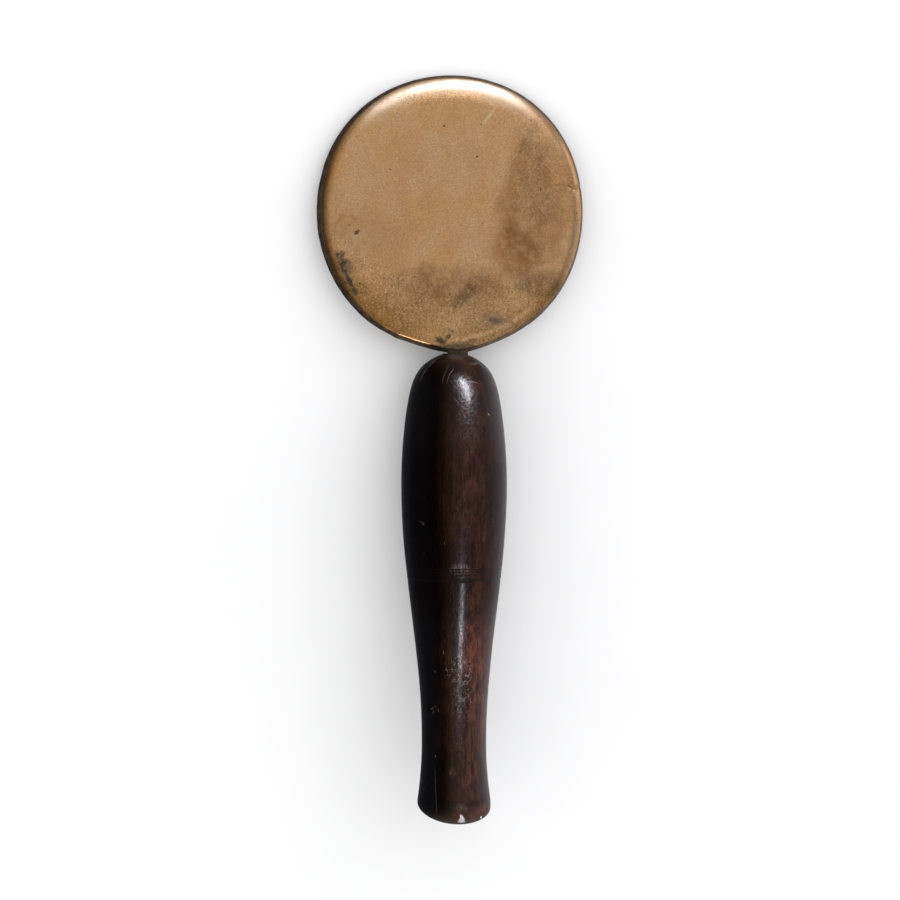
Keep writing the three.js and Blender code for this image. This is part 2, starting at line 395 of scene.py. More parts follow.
def wear_handle(points):
    """Uneven turning, worn flats and dents, all cut into the turned shape."""
    along = -points[:, 1]
    out = np.hypot(points[:, 0], points[:, 2])
    outward = points * (1, 0, 1) / np.maximum(out, 1e-6)[:, None]
    cut = uneven(points * (1, 0.45, 1), *TURNING) + uneven(points, *TOOL_MARKS)
    front = np.clip(points[:, 2] / 3, 0, 1)
    for x, at, half_x, half_y, depth in HANDLE_DENTS:
        away = ((points[:, 0] - x) / half_x) ** 2 + ((along - at) / half_y) ** 2
        cut += front * depth * np.exp(-away)
    points -= outward * (cut * np.clip(out / 3, 0, 1))[:, None]


def make_handle():
    """The turned handle with the tang's socket, its foot's end leaning a little."""
    roll, lean = math.radians(HANDLE_ROLL), math.tan(math.radians(END_LEAN))
    rings = [np.array([[0.0, 0.0, 0.0]])]
    angle = np.arange(HANDLE_SIDES) * 2 * np.pi / HANDLE_SIDES
    for along in handle_stations():
        radius = float(handle_radius(np.array(along)))
        for at, half_width, depth in SCRIBED_LINES:
            radius -= LINE_LEFT * depth * max(0.0, 1 - abs(along - at) / half_width)
        x = radius * np.sin(angle)
        z = radius * np.cos(angle)
        into_end = np.clip((along - FOOT_AT) / (FOOT_EDGE - FOOT_AT), 0, 1)
        y = -along - (x * math.cos(roll) - z * math.sin(roll)) * lean * into_end
        rings.append(np.stack([x, y, z], axis=1))
    rings.append(np.array([[0.0, -HANDLE_LENGTH, 0.0]]))
    points = np.concatenate(rings)
    wear_handle(points)
    handle = make_piece("turned_handle", points, stitch(rings), handle_axes)
    combine(handle, tang_bar("socket", CLEARANCE), "DIFFERENCE")
    return handle


# ---- Node helpers ----

ANY_DEPTH = 1e5  # half size of a mask across the plane that it is drawn in


class Graph:
    """Shorthand for a node tree: a method adds what it needs and returns the output."""

    def __init__(self, tree):
        self.tree = tree

    def put(self, socket, value):
        """Links a socket to an output, or sets it to a plain value."""
        if isinstance(value, bpy.types.NodeSocket):
            self.tree.links.new(value, socket)
        elif socket.type == "RGBA" and len(value) == 3:
            socket.default_value = (*value, 1)
        else:
            socket.default_value = value

    def add(self, kind, inputs, output, **settings):
        """Adds one node, fills its inputs by name or number, and returns one of its outputs."""
        node = self.tree.nodes.new(kind)
        for name, value in settings.items():
            setattr(node, name, value)
        for socket, value in inputs.items():
            self.put(node.inputs[socket], value)
        return node.outputs[output]

    # coordinates

    def mapped(self, vector, location=(0, 0, 0), turn=(0, 0, 0), scale=(1, 1, 1)):
        """Coordinates seen from axes at a location, turned and scaled."""
        inputs = {"Vector": vector, "Location": location, "Rotation": turn, "Scale": scale}
        return self.add("ShaderNodeMapping", inputs, "Vector", vector_type="TEXTURE")

    def stretched(self, vector, x=1, y=1, z=1):
        """Coordinates in which a pattern comes out longer by x, y and z."""
        return self.mapped(vector, scale=(x, y, z))

    def wander(self, vector, wavelength, amount, detail=3):
        """Coordinates pushed about by noise, to break the edges of what is placed with them."""
        colour = self.noise(vector, wavelength, detail, output="Color")
        centred = self.vector_maths("SUBTRACT", colour, (0.5, 0.5, 0.5))
        pushed = self.vector_maths("MULTIPLY", centred, (2 * amount, 2 * amount, 2 * amount))
        return self.vector_maths("ADD", vector, pushed)

    def coordinate(self, vector, axis):
        return self.add("ShaderNodeSeparateXYZ", {0: vector}, axis)

    # numbers and colours

    def maths(self, operation, a, b=0.0):
        return self.add("ShaderNodeMath", {0: a, 1: b}, "Value", operation=operation)

    def vector_maths(self, operation, a, b=(0, 0, 0), output="Vector"):
        return self.add("ShaderNodeVectorMath", {0: a, 1: b}, output, operation=operation)

    def folded(self, operation, values):
        result = values[0]
        for value in values[1:]:
            result = self.maths(operation, result, value)
        return result

    def times(self, *values):
        return self.folded("MULTIPLY", values)

    def plus(self, *values):
        return self.folded("ADD", values)

    def less(self, *values):
        return self.folded("SUBTRACT", values)

    def most(self, *values):
        return self.folded("MAXIMUM", values)

    def away(self, value, centre):
        """How far a value is from a centre, whichever way."""
        return self.maths("ABSOLUTE", self.less(value, centre))

    def length(self, vector):
        return self.vector_maths("LENGTH", vector, output="Value")

    def ramp(self, value, start, end, low=0.0, high=1.0, interpolation="SMOOTHSTEP"):
        """Goes from low to high while a value goes from start to end."""
        inputs = {"Value": value, "From Min": start, "From Max": end, "To Min": low, "To Max": high}
        return self.add("ShaderNodeMapRange", inputs, "Result", interpolation_type=interpolation)

    def mix(self, share, under, over, blend="MIX"):
        """A colour covered by another one, by a share."""
        inputs = {0: share, 6: under, 7: over}
        return self.add("ShaderNodeMix", inputs, 2, data_type="RGBA", blend_type=blend)

    def tint(self, share, under, over):
        """A colour multiplied by another one, by a share."""
        return self.mix(share, under, over, "MULTIPLY")

    def blend(self, share, under, over):
        """A number that goes from one to another, by a share."""
        return self.add("ShaderNodeMix", {0: share, 2: under, 3: over}, 0, data_type="FLOAT")

    # patterns and masks

    def noise(self, vector, wavelength, detail=3, rough=0.5, output="Fac"):
        inputs = {"Vector": vector, "Scale": 1 / wavelength, "Detail": detail, "Roughness": rough}
        return self.add("ShaderNodeTexNoise", inputs, output)

    def specks(self, vector, spacing, radius):
        """Scattered dots of a radius, one for each cell of the spacing."""
        inputs = {"Vector": vector, "Scale": 1 / spacing}
        distance = self.add("ShaderNodeTexVoronoi", inputs, "Distance")
        return self.ramp(distance, radius / spacing, 0.5 * radius / spacing)

    def cracks(self, vector, spacing, width):
        """Thin lines between the cells of a spacing."""
        inputs = {"Vector": vector, "Scale": 1 / spacing}
        distance = self.add("ShaderNodeTexVoronoi", inputs, "Distance", feature="DISTANCE_TO_EDGE")
        return self.ramp(distance, width / spacing, 0.3 * width / spacing)

    def blob(self, vector, x, y, half_x, half_y, turn, soft):
        """A mask of an ellipse in x and y, whatever the depth."""
        scale = (half_x, half_y, ANY_DEPTH)
        local = self.mapped(vector, (x, y, 0), (0, 0, math.radians(turn)), scale)
        return self.ramp(self.length(local), 1 + soft, 1 - soft)

    def arc(self, vector, x, y, radius, half_width):
        """A mask of a thin circle in x and y, whatever the depth."""
        local = self.mapped(vector, (x, y, 0), scale=(1, 1, ANY_DEPTH))
        return self.ramp(self.away(self.length(local), radius), half_width, 0.3 * half_width)


class Surface(Graph):
    """A node material whose patterns are placed in a piece's own axes, in millimetres."""

    def __init__(self, name, axes):
        self.material = bpy.data.materials.new(name)
        self.material.use_nodes = True
        super().__init__(self.material.node_tree)
        self.shader = self.tree.nodes["Principled BSDF"]
        where = self.add("ShaderNodeTexCoord", {}, "Object")
        turn, scale = tuple(axes.to_euler()), tuple(axes.to_scale())
        self.place = self.mapped(where, tuple(axes.translation), turn, scale)

    def facing(self, direction):
        """How far the surface faces a direction, from -1 to 1."""
        normal = self.add("ShaderNodeNewGeometry", {}, "Normal")
        return self.vector_maths("DOT_PRODUCT", normal, direction, "Value")

    def bump(self, *heights):
        """Fine relief from (pattern, millimetres) pairs."""
        below = {}
        for pattern, height in heights:
            inputs = {"Height": pattern, "Distance": height * METRES, **below}
            below = {"Normal": self.add("ShaderNodeBump", inputs, "Normal")}
        self.put(self.shader.inputs["Normal"], below["Normal"])

    def finish(self, colour, metallic, roughness, specular=0.5):
        self.put(self.shader.inputs["Base Color"], colour)
        self.put(self.shader.inputs["Metallic"], metallic)
        self.put(self.shader.inputs["Roughness"], roughness)
        self.put(self.shader.inputs["Specular IOR Level"], specular)
        return self.material


# ---- Bronze ----

WARM_METAL, PALE_METAL, YELLOW_METAL = (0.80, 0.455, 0.215), (0.80, 0.50, 0.275), (0.82, 0.56, 0.20)
BROWN_CLOUD, BRIGHT_CLOUD = (0.72, 0.41, 0.19), (0.88, 0.50, 0.25)
# the first darkens the lower face, the second is painted shade low on the right border, the third a
# painted highlight on the top border
LOWER_DARKENING, LOW_RIGHT_SHADE, HIGHLIGHT_PALE = (0.86, 0.86, 0.80), (0.80, 0.78, 0.76), (0.80, 0.62, 0.46)
FRECKLE, GOLD, PIT = (0.26, 0.14, 0.055), (0.98, 0.64, 0.29), (0.12, 0.07, 0.035)
BARE_METAL, OCHRE, CRUST_EDGE = (1.0, 0.72, 0.42), (0.52, 0.26, 0.09), (0.05, 0.045, 0.03)
BACK_DARK, BACK_LIGHT, BACK_SPECK = (0.20, 0.115, 0.055), (0.36, 0.21, 0.10), (0.12, 0.10, 0.06)
WALL_DARK, WALL_LIGHT = (0.10, 0.062, 0.038), (0.26, 0.17, 0.11)

# Stains that a wiped surface keeps: x, y, half widths, turn, softness, strength, tint.
STAINS = (
    (31.0, 1.2, 12.8, 24.0, -6, 0.12, 0.85, (0.80, 0.75, 0.73)),
    (29.0, 14.2, 6.5, 12.0, 14, 0.40, 0.8, (0.74, 0.72, 0.72)),
    (27.0, -5.3, 8.5, 9.0, 0, 0.5, 0.5, (0.78, 0.72, 0.62)),
    (20.5, 0.2, 4.0, 10.0, -4, 0.4, 0.6, (0.78, 0.70, 0.56)),
    (22.8, -15.8, 8.0, 8.6, 30, 0.40, 0.9, (0.66, 0.56, 0.43)),
    (35.0, -3.8, 4.4, 9.0, 0, 0.6, 0.8, (0.82, 0.79, 0.76)),
    (28.6, 25.6, 6.6, 1.7, 50, 0.5, 0.75, (0.72, 0.69, 0.70)),
    (0.0, -28.3, 15.0, 6.5, 5, 0.6, 0.9, (0.66, 0.64, 0.64)),
    (-16.0, -25.3, 9.0, 5.5, -10, 0.7, 0.7, (0.74, 0.73, 0.72)),
    (3.0, -30.4, 5.8, 2.5, 40, 0.3, 0.85, (0.56, 0.50, 0.45)),
    (12.0, -28.3, 6.0, 4.0, -10, 0.6, 0.6, (0.74, 0.72, 0.70)),
    (30.5, -27.8, 9.0, 4.8, -12, 0.45, 0.9, (0.54, 0.52, 0.54)),
    (-10.3, -21.0, 3.4, 2.8, 20, 0.6, 0.8, (0.62, 0.60, 0.58)),
    (-26.0, -36.3, 13.0, 6.5, -38, 0.6, 0.9, (0.68, 0.60, 0.46)),
    (-38.5, -22.8, 4.5, 9.5, 22, 0.6, 0.8, (0.70, 0.62, 0.50)),
    (-27.0, -6.8, 11.0, 8.0, 0, 0.8, 0.7, (0.88, 0.90, 0.95)),
    (-14.7, -37.0, 5.5, 6.0, 0, 0.7, 0.6, (0.80, 0.82, 0.90)),
    (11.0, -39.3, 8.0, 4.5, -10, 0.6, 0.7, (0.68, 0.68, 0.70)),
    (-38.5, -1.3, 4.4, 4.2, 20, 0.7, 0.5, (0.88, 0.78, 0.66)),
    (30.1, -34.4, 1.6, 1.2, 0, 0.6, 0.8, (0.78, 0.52, 0.36)),
    (-7.0, 19.2, 16.0, 12.0, 20, 0.9, 0.4, (0.92, 0.93, 0.98)),
    (-42.0, -5.8, 3.0, 3.6, 0, 0.7, 0.5, (0.80, 0.72, 0.58)),
)
BROAD_STAIN = 5.9  # from this half width on, a stain's edge wanders widely
# Hard crusts: x, y, half widths, turn, strength, colour.
CRUSTS = (
    (-41.0, -14.4, 2.0, 1.7, 20, 0.95, (0.055, 0.036, 0.016)),
    (-39.5, -18.6, 2.4, 3.9, 17, 1.00, (0.062, 0.043, 0.020)),
    (-38.3, -23.4, 1.3, 3.6, 22, 1.00, (0.060, 0.044, 0.020)),
    (-36.6, -27.6, 1.1, 1.9, 35, 0.95, (0.056, 0.043, 0.017)),
    (-38.2, -19.8, 0.8, 2.4, 12, 0.70, (0.170, 0.105, 0.048)),
    (-34.8, -6.4, 1.25, 0.75, 35, 0.95, (0.120, 0.045, 0.015)),
    (-37.2, -3.8, 0.45, 0.30, 10, 0.8, (0.110, 0.045, 0.020)),
    (13.6, -40.0, 3.6, 1.4, -10, 0.95, (0.115, 0.086, 0.050)),
    (10.4, -38.4, 1.8, 1.0, 0, 0.7, (0.170, 0.115, 0.060)),
    (17.4, -40.8, 1.6, 0.9, 0, 0.6, (0.170, 0.115, 0.060)),
    (-6.2, -46.4, 2.2, 1.2, -25, 0.95, (0.045, 0.036, 0.018)),
    (-3.6, -45.2, 1.3, 0.8, 30, 0.80, (0.045, 0.036, 0.018)),
    (4.6, -46.9, 2.6, 0.7, 4, 0.60, (0.050, 0.036, 0.018)),
    (-2.7, -49.0, 3.0, 1.3, 0, 0.85, (0.110, 0.090, 0.056)),
    (2.6, -48.4, 3.2, 1.2, -8, 0.75, (0.075, 0.065, 0.035)),
    (-0.7, -50.8, 5.0, 1.1, 0, 0.9, (0.110, 0.092, 0.060)),
    (3.6, -29.6, 1.9, 1.3, 40, 0.45, (0.060, 0.040, 0.024)),
    (0.2, -33.4, 1.5, 0.8, 30, 0.55, (0.050, 0.038, 0.024)),
    (12.0, 30.5, 0.55, 0.34, 50, 0.8, (0.090, 0.080, 0.050)),
    (-1.4, 30.4, 0.35, 0.35, 0, 1.0, (0.020, 0.018, 0.015)),
    (9.9, 19.0, 0.35, 0.35, 0, 1.0, (0.020, 0.018, 0.015)),
    (7.4, 16.8, 0.22, 0.22, 0, 0.8, (0.060, 0.040, 0.020)),
    (-21.7, 15.6, 0.60, 0.16, -40, 0.9, (0.060, 0.040, 0.020)),
    (32.5, 6.3, 0.30, 0.60, 10, 0.9, (0.050, 0.035, 0.020)),
    (34.6, 3.0, 0.50, 0.50, 0, 0.6, (0.070, 0.055, 0.040)),
    (20.1, 21.8, 0.30, 0.30, 0, 0.7, (0.060, 0.040, 0.020)),
    (-14.7, -23.3, 0.30, 0.30, 0, 0.9, (0.040, 0.030, 0.020)),
    (-25.0, -19.2, 0.45, 0.40, 0, 0.7, (0.110, 0.055, 0.025)),
    (-34.6, -24.7, 0.30, 0.35, 0, 0.9, (0.030, 0.040, 0.020)),
    (43.4, 6.8, 1.30, 0.22, -38, 0.9, (0.030, 0.022, 0.015)),
    (45.3, -2.8, 0.35, 0.30, 0, 0.9, (0.030, 0.022, 0.015)),
    (-2.0, -43.3, 0.50, 0.45, 0, 0.8, (0.060, 0.035, 0.020)),
)
SMALL_CRUST = 1.4  # below this half width, a crust is a plain dot
# Fine light lines across the face: x, y, half length.
FINE_LINES = ((-6, 39.7, 7), (8.3, 38.4, 8), (-18.7, 38, 5), (-22.7, -4.2, 6))
# Where freckles stand close: x, y, half widths, turn, strength.
SPECKLED = (
    (-22.0, -30.0, 13.0, 9.0, -25, 1.0),
    (-38.0, -22.0, 7.0, 16.0, 22, 1.0),
    (31.0, 12.0, 9.0, 22.0, 0, 0.5),
    (-6.0, 41.5, 20.0, 3.4, 2, 0.55),
)


def wiped_metal(s, y, grain, stroke):
    """Warm and pale clouds, a fine grain and faint strokes of polishing."""
    place = s.place
    cloud = s.ramp(s.noise(place, 17.0, 5, 0.6), 0.38, 0.62)
    colour = s.mix(cloud, WARM_METAL, PALE_METAL)
    cloud = s.noise(s.mapped(place, (9, 4, 0), scale=(1, 1.5, 1)), 7.0, 6, 0.66)
    colour = s.mix(s.ramp(cloud, 0.40, 0.62, 0.0, 0.6), colour, BROWN_CLOUD)
    cloud = s.noise(s.mapped(place, (-5, 8, 0)), 5.5, 6, 0.7)
    colour = s.mix(s.ramp(cloud, 0.52, 0.70, 0.0, 0.3), colour, BRIGHT_CLOUD)
    colour = s.tint(1.0, colour, s.ramp(grain, 0.25, 0.75, 0.86, 1.14))

    across = s.ramp(s.noise(place, 13.0, 3), 0.38, 0.6, 0.0, 0.5)
    colour = s.tint(across, colour, s.ramp(stroke, 0.3, 0.7, 0.88, 1.12))
    weave = s.noise(s.stretched(s.wander(place, 9.0, 0.5), 0.55, 6, 8), 0.8, 2, 0.5)
    lower_down = s.ramp(y, 6.0, -20.0, 0.1, 0.6)
    colour = s.tint(lower_down, colour, s.ramp(weave, 0.3, 0.7, 0.90, 1.10))
    dust = s.noise(place, 0.42, 2, 0.6)
    colour = s.tint(1.0, colour, s.ramp(dust, 0.3, 0.7, 0.86, 1.14))
    yellow = s.ramp(s.noise(place, 1.7, 6, 0.75), 0.55, 0.72, 0.0, 0.35)
    return s.mix(yellow, colour, YELLOW_METAL)


def stains(s, colour, lower, near, far):
    """The stains, on metal tinted darker towards the handle, and how much is stained."""
    colour = s.tint(s.times(lower, 0.8), colour, LOWER_DARKENING)
    patchy = s.ramp(s.noise(s.place, 3.4, 5, 0.68), 0.34, 0.6, 0.55, 1.1)
    stained = 0.0
    for x, y, half_x, half_y, turn, soft, strength, shade in STAINS:
        edge = near if max(half_x, half_y) < BROAD_STAIN else far
        share = s.times(s.blob(edge, x, y, half_x, half_y, turn, soft), patchy, strength)
        colour = s.tint(share, colour, shade)
        stained = s.most(stained, share)
    return colour, stained


def border_highlight_and_shade(s, colour, x, y):
    """A painted highlight makes the border pale at the top, and painted shade darkens it low on the
    right.
    """
    rim = s.length(s.mapped(s.place, scale=(1, 1, ANY_DEPTH)))
    border = s.ramp(rim, 40.5, 44.5)
    # painted highlight: the top of the border is paled where the top light's highlight falls
    pale = s.times(border, s.ramp(y, 28.0, 40.0), 0.85)
    colour = s.mix(pale, colour, HIGHLIGHT_PALE)
    # painted shade: the border is darkened low on the right
    low_right_shade = s.times(border, s.ramp(y, -18.0, -34.0), s.ramp(x, -12.0, 2.0), 0.8)
    return s.tint(low_right_shade, colour, LOW_RIGHT_SHADE)


def freckles(s, colour, lower, far):
    """Dark freckles, gold and dark pepper and pits, close together where the face is speckled."""
    place = s.place
    speckled = s.times(lower, 0.75)
    for x, y, half_x, half_y, turn, strength in SPECKLED:
        speckled = s.most(speckled, s.times(s.blob(far, x, y, half_x, half_y, turn, 0.5), strength))
    freckle = s.ramp(s.noise(place, 0.95, 5, 0.7), 0.53, 0.61)
    freckle = s.times(freckle, s.ramp(s.noise(place, 4.5, 3), 0.38, 0.56), speckled)
    colour = s.mix(s.times(freckle, 0.85), colour, FRECKLE)
    gold = s.ramp(s.noise(s.mapped(place, (7, 3, 5)), 0.75, 5, 0.75), 0.53, 0.63)
    colour = s.mix(s.times(gold, speckled, 0.7), colour, GOLD)
    pepper = s.noise(s.mapped(place, (11, 5, 2)), 0.6, 4, 0.75)
    pepper = s.ramp(pepper, 0.36, 0.64, 0.74, 1.24)
    colour = s.tint(s.ramp(speckled, 0.0, 0.7, 0.1, 0.9), colour, pepper)
    pits = s.times(s.specks(place, 2.1, 0.17), s.ramp(s.noise(place, 5.0, 2), 0.46, 0.58))
    pits = s.times(pits, s.ramp(speckled, 0.0, 1.0, 0.25, 1.0))
    colour = s.mix(s.times(pits, 0.85), colour, PIT)
    return colour, freckle, pits


def face_scratches(s, colour, near):
    """A long light scratch, fine lines across and a ring of ochre."""
    line = s.blob(s.wander(s.place, 2.0, 0.15), 14.7, 33.1, 3.8, 0.55, 48, 0.5)
    ragged = s.ramp(s.noise(s.place, 0.7, 3), 0.35, 0.6)
    scratches = s.times(line, s.blend(0.5, 1.0, ragged))
    for x, y, half_length in FINE_LINES:
        thin = s.blob(s.place, x, y, half_length, 0.11, 2, 0.7)
        scratches = s.most(scratches, s.times(thin, ragged, 0.55))
    colour = s.mix(s.times(scratches, 0.75), colour, BARE_METAL)
    part = s.blob(s.place, -40.0, -2.0, 5.0, 4.5, 0, 0.3)
    ring = s.times(s.arc(near, -38.0, -5.2, 4.6, 0.6), part)
    return s.mix(s.times(ring, 0.45), colour, OCHRE)


def crusts(s, near, broken):
    """Where the hard crusts are, and their colour."""
    crust = 0.0
    colour = CRUST_EDGE
    for x, y, half_x, half_y, turn, strength, shade in CRUSTS:
        if max(half_x, half_y) < SMALL_CRUST:
            mask = s.blob(s.place, x, y, half_x, half_y, turn, 0.35)
            share = s.times(mask, strength)
        else:
            mask = s.blob(near, x, y, half_x, half_y, turn, 0.5)
            share = s.times(mask, strength, broken)
        colour = s.mix(s.ramp(mask, 0.0, 0.1), colour, shade)
        crust = s.most(crust, share)
    return crust, colour


def bronze():
    s = Surface("bronze_patinated", disc_axes)
    place = s.place
    x, y = s.coordinate(place, "X"), s.coordinate(place, "Y")
    near = s.wander(place, 2.6, 1.3, detail=5)
    far = s.wander(place, 9.0, 3.6, detail=6)
    grain = s.noise(place, 0.8, 5, 0.75)
    stroke = s.noise(s.stretched(s.wander(place, 9.0, 0.5), 7, 0.6, 8), 0.66, 3, 0.6)
    lower = s.ramp(y, -16.0, -34.0)

    colour = wiped_metal(s, y, grain, stroke)
    colour, stained = stains(s, colour, lower, near, far)
    colour = border_highlight_and_shade(s, colour, x, y)
    colour, freckle, pits = freckles(s, colour, lower, far)
    colour = face_scratches(s, colour, near)
    broken = s.ramp(s.noise(place, 1.1, 6, 0.75), 0.36, 0.50, 0.5, 1.0)
    crust, crust_colour = crusts(s, near, broken)

    # marks of the face stay on the face; the back has a plain brown patina
    up_side = s.facing(tuple(face_normal))
    crust = s.times(crust, s.ramp(up_side, 0.0, 0.3))
    back = s.ramp(up_side, -0.2, -0.6)
    back_cloud = s.ramp(s.noise(place, 9.0, 6, 0.65), 0.35, 0.65)
    back_colour = s.mix(back_cloud, BACK_DARK, BACK_LIGHT)
    back_colour = s.mix(s.ramp(grain, 0.5, 0.7, 0.0, 0.6), back_colour, BACK_SPECK)
    colour = s.mix(back, colour, back_colour)

    # side wall: dark brown patina, rubbed bare along the front edge
    wall = s.ramp(s.maths("ABSOLUTE", up_side), 0.86, 0.62)
    wall_noise = s.noise(place, 2.2, 5, 0.7)
    wall_colour = s.mix(s.ramp(wall_noise, 0.35, 0.65), WALL_DARK, WALL_LIGHT)
    wall = s.times(wall, s.ramp(wall_noise, 0.2, 0.45, 0.75, 1.0))
    colour = s.mix(wall, colour, wall_colour)
    colour = s.mix(crust, colour, crust_colour)

    dull = s.most(s.times(stained, 0.6), s.times(freckle, 0.6))
    roughness = s.plus(s.ramp(grain, 0.3, 0.7, 0.20, 0.24), s.times(dull, 0.04))
    roughness = s.blend(s.most(back, wall), roughness, 0.42)
    roughness = s.blend(crust, roughness, 0.6)
    metallic = s.less(1.0, s.times(crust, 0.4), s.times(wall, 0.12))
    height = s.plus(s.less(grain, s.times(pits, 1.5)), s.times(crust, broken, 1.5))
    s.bump((height, 0.006), (stroke, 0.003), (s.times(wall_noise, wall), 0.12))
    return s.finish(colour, metallic, roughness)


# ---- Wood ----

DARK_WOOD, STREAK_WOOD = (0.0036, 0.0012, 0.0007), (0.0060, 0.0019, 0.0010)
CLOUD_WOOD = (0.0088, 0.0030, 0.0016)
WORN_DARK, WORN_RED = (0.019, 0.0060, 0.0030), (0.034, 0.0108, 0.0052)
# the crevice colour also paints a dark reflection edge down the left of the belly
PORE, CRACK_AND_EDGE_DARK, SCRIBED = (0.003, 0.0015, 0.0015), (0.002, 0.001, 0.001), (0.003, 0.002, 0.002)
# the scratch colour also paints a glint on the lands between the scribed lines
SCRATCH_AND_GLINT, CRACK_LIP = (0.080, 0.060, 0.052), (0.045, 0.034, 0.030)
# the foot's pale colour also paints glints on the foot's end
PALE_WOOD, FOOT_CHIP_AND_GLINT = (0.40, 0.29, 0.21), (0.46, 0.44, 0.43)

# Places where the dark finish is worn thin: x, distance from the top, half widths, turn, strength.
WORN_WOOD = (
    (5.5, 12.0, 3.5, 10.0, 10, 0.25),
    (2.5, 44.0, 7.0, 16.0, 0, 0.30),
    (6.5, 29.0, 3.5, 14.0, 3, 0.25),
    (-1.0, 57.0, 4.0, 9.0, 0, 0.28),
    (9.0, 66.0, 4.0, 10.0, 4, 0.25),
    (7.5, 92.0, 3.0, 9.0, 0, 0.40),
    (7.0, 108.0, 4.5, 12.0, 0, 0.95),
    (-3.5, 106.0, 3.0, 8.0, 0, 0.55),
    (8.5, 126.0, 3.4, 14.0, 0, 0.82),
    (6.5, 143.0, 4.5, 10.0, 0, 0.46),
    (-3.0, 122.0, 3.5, 12.0, 0, 0.45),
    (-3.0, 137.0, 4.5, 9.0, 0, 0.35),
    (-1.3, 150.1, 1.8, 1.7, 0, 1.00),
    (3.0, 154.0, 6.0, 7.0, 0, 0.36),
    (1.0, 166.0, 10.5, 2.6, 4, 1.00),
    (11.2, 164.6, 2.2, 2.6, 20, 1.00),
    (-7.0, 165.0, 2.0, 3.0, 0, 0.60),
)
# Small pale marks: x, distance from the top, half widths, turn, strength.
PALE_MARKS = (
    (12.4, 22.0, 0.30, 0.45, 15, 0.14),
    (-11.2, 60.9, 0.50, 0.55, 5, 0.06),
    (-11.9, 60.3, 0.5, 0.25, 0, 0.03),
    (-3.4, 67.9, 0.14, 0.4, 0, 0.08),
    (-3.8, 106.9, 0.15, 0.5, 20, 0.12),
    (-7.0, 114.1, 0.15, 0.4, 0, 0.10),
    (-6.7, 144.7, 0.18, 0.45, 10, 0.14),
    (-8.0, 127.1, 0.8, 0.20, 40, 0.12),
    (-7.4, 128.4, 0.15, 0.7, -25, 0.14),
    (-5.6, 127.8, 0.18, 0.6, 30, 0.12),
    (-6.6, 126.2, 0.4, 0.14, 10, 0.10),
    (-1.3, 150.2, 0.4, 0.5, 30, 0.05),
    # the marks at the foot's end are pale chips and painted glints on its rounded end
    (2.7, 167.7, 1.25, 0.45, 4, 1.0),
    (2.8, 167.1, 0.95, 0.6, 0, 1.0),
    (2.8, 166.4, 0.65, 0.7, 0, 0.9),
    (2.6, 165.6, 0.45, 0.6, 0, 0.6),
    (9.7, 166.4, 0.26, 0.42, 20, 0.8),
    (12.8, 163.4, 0.4, 0.7, 20, 0.06),
    (12.0, 2.2, 1.4, 0.12, 60, 0.10),
)
# Curved scratches on the nose: centre, radius, half width, strength, and the blob that they show in.
NOSE_CURVES = (
    (9.0, -19.5, 23.2, 0.16, 1.0, (-9.4, -5.8, 2.2, 4.6, -33, 0.25)),
    (12.0, -14.0, 14.8, 0.15, 1.0, (-1.9, -8.2, 1.2, 3.0, -28, 0.3)),
    (9.0, -19.5, 25.0, 0.14, 0.8, (-10.6, -4.6, 2.4, 5.0, -36, 0.3)),
    (13.0, -13.0, 17.2, 0.14, 0.6, (-2.8, -7.4, 1.4, 3.6, -30, 0.3)),
)


def turned_wood(s, front, far, streak, fine):
    """Nearly black wood with long grain, worn red-brown in places, with painted shade darkening its
    left side unevenly.
    """
    place = s.place
    colour = s.mix(s.ramp(streak, 0.3, 0.7), DARK_WOOD, STREAK_WOOD)
    cloud = s.ramp(s.noise(s.stretched(place, 1, 2.2, 1), 9.0, 5, 0.6), 0.36, 0.66, 0.0, 0.5)
    colour = s.mix(cloud, colour, CLOUD_WOOD)
    worn = 0.0
    for x, at, half_x, half_y, turn, strength in WORN_WOOD:
        worn = s.most(worn, s.times(s.blob(far, x, -at, half_x, half_y, turn, 0.75), strength))
    worn = s.times(worn, front, s.ramp(streak, 0.32, 0.60, 0.6, 1.05))
    colour = s.mix(worn, colour, s.mix(s.ramp(fine, 0.3, 0.6), WORN_DARK, WORN_RED))
    mottle = s.noise(s.mapped(place, (2, 7, 4), scale=(1, 1.6, 1)), 3.6, 5, 0.65)
    colour = s.tint(1.0, colour, s.ramp(mottle, 0.35, 0.65, 0.66, 1.34))

    # painted shade: where the wood faces left it is darkened to nearly black, made uneven by the
    # grain
    shade = s.ramp(s.facing(tuple(laid.col[0][:3])), -0.62, 0.08, 0.25, 1.0)
    shade = s.times(shade, s.ramp(streak, 0.2, 0.8, 0.80, 1.20), s.ramp(fine, 0.3, 0.7, 0.72, 1.28))
    shade = s.times(shade, s.ramp(s.noise(place, 0.36, 3, 0.65), 0.3, 0.7, 0.72, 1.28))
    return s.tint(1.0, colour, shade)


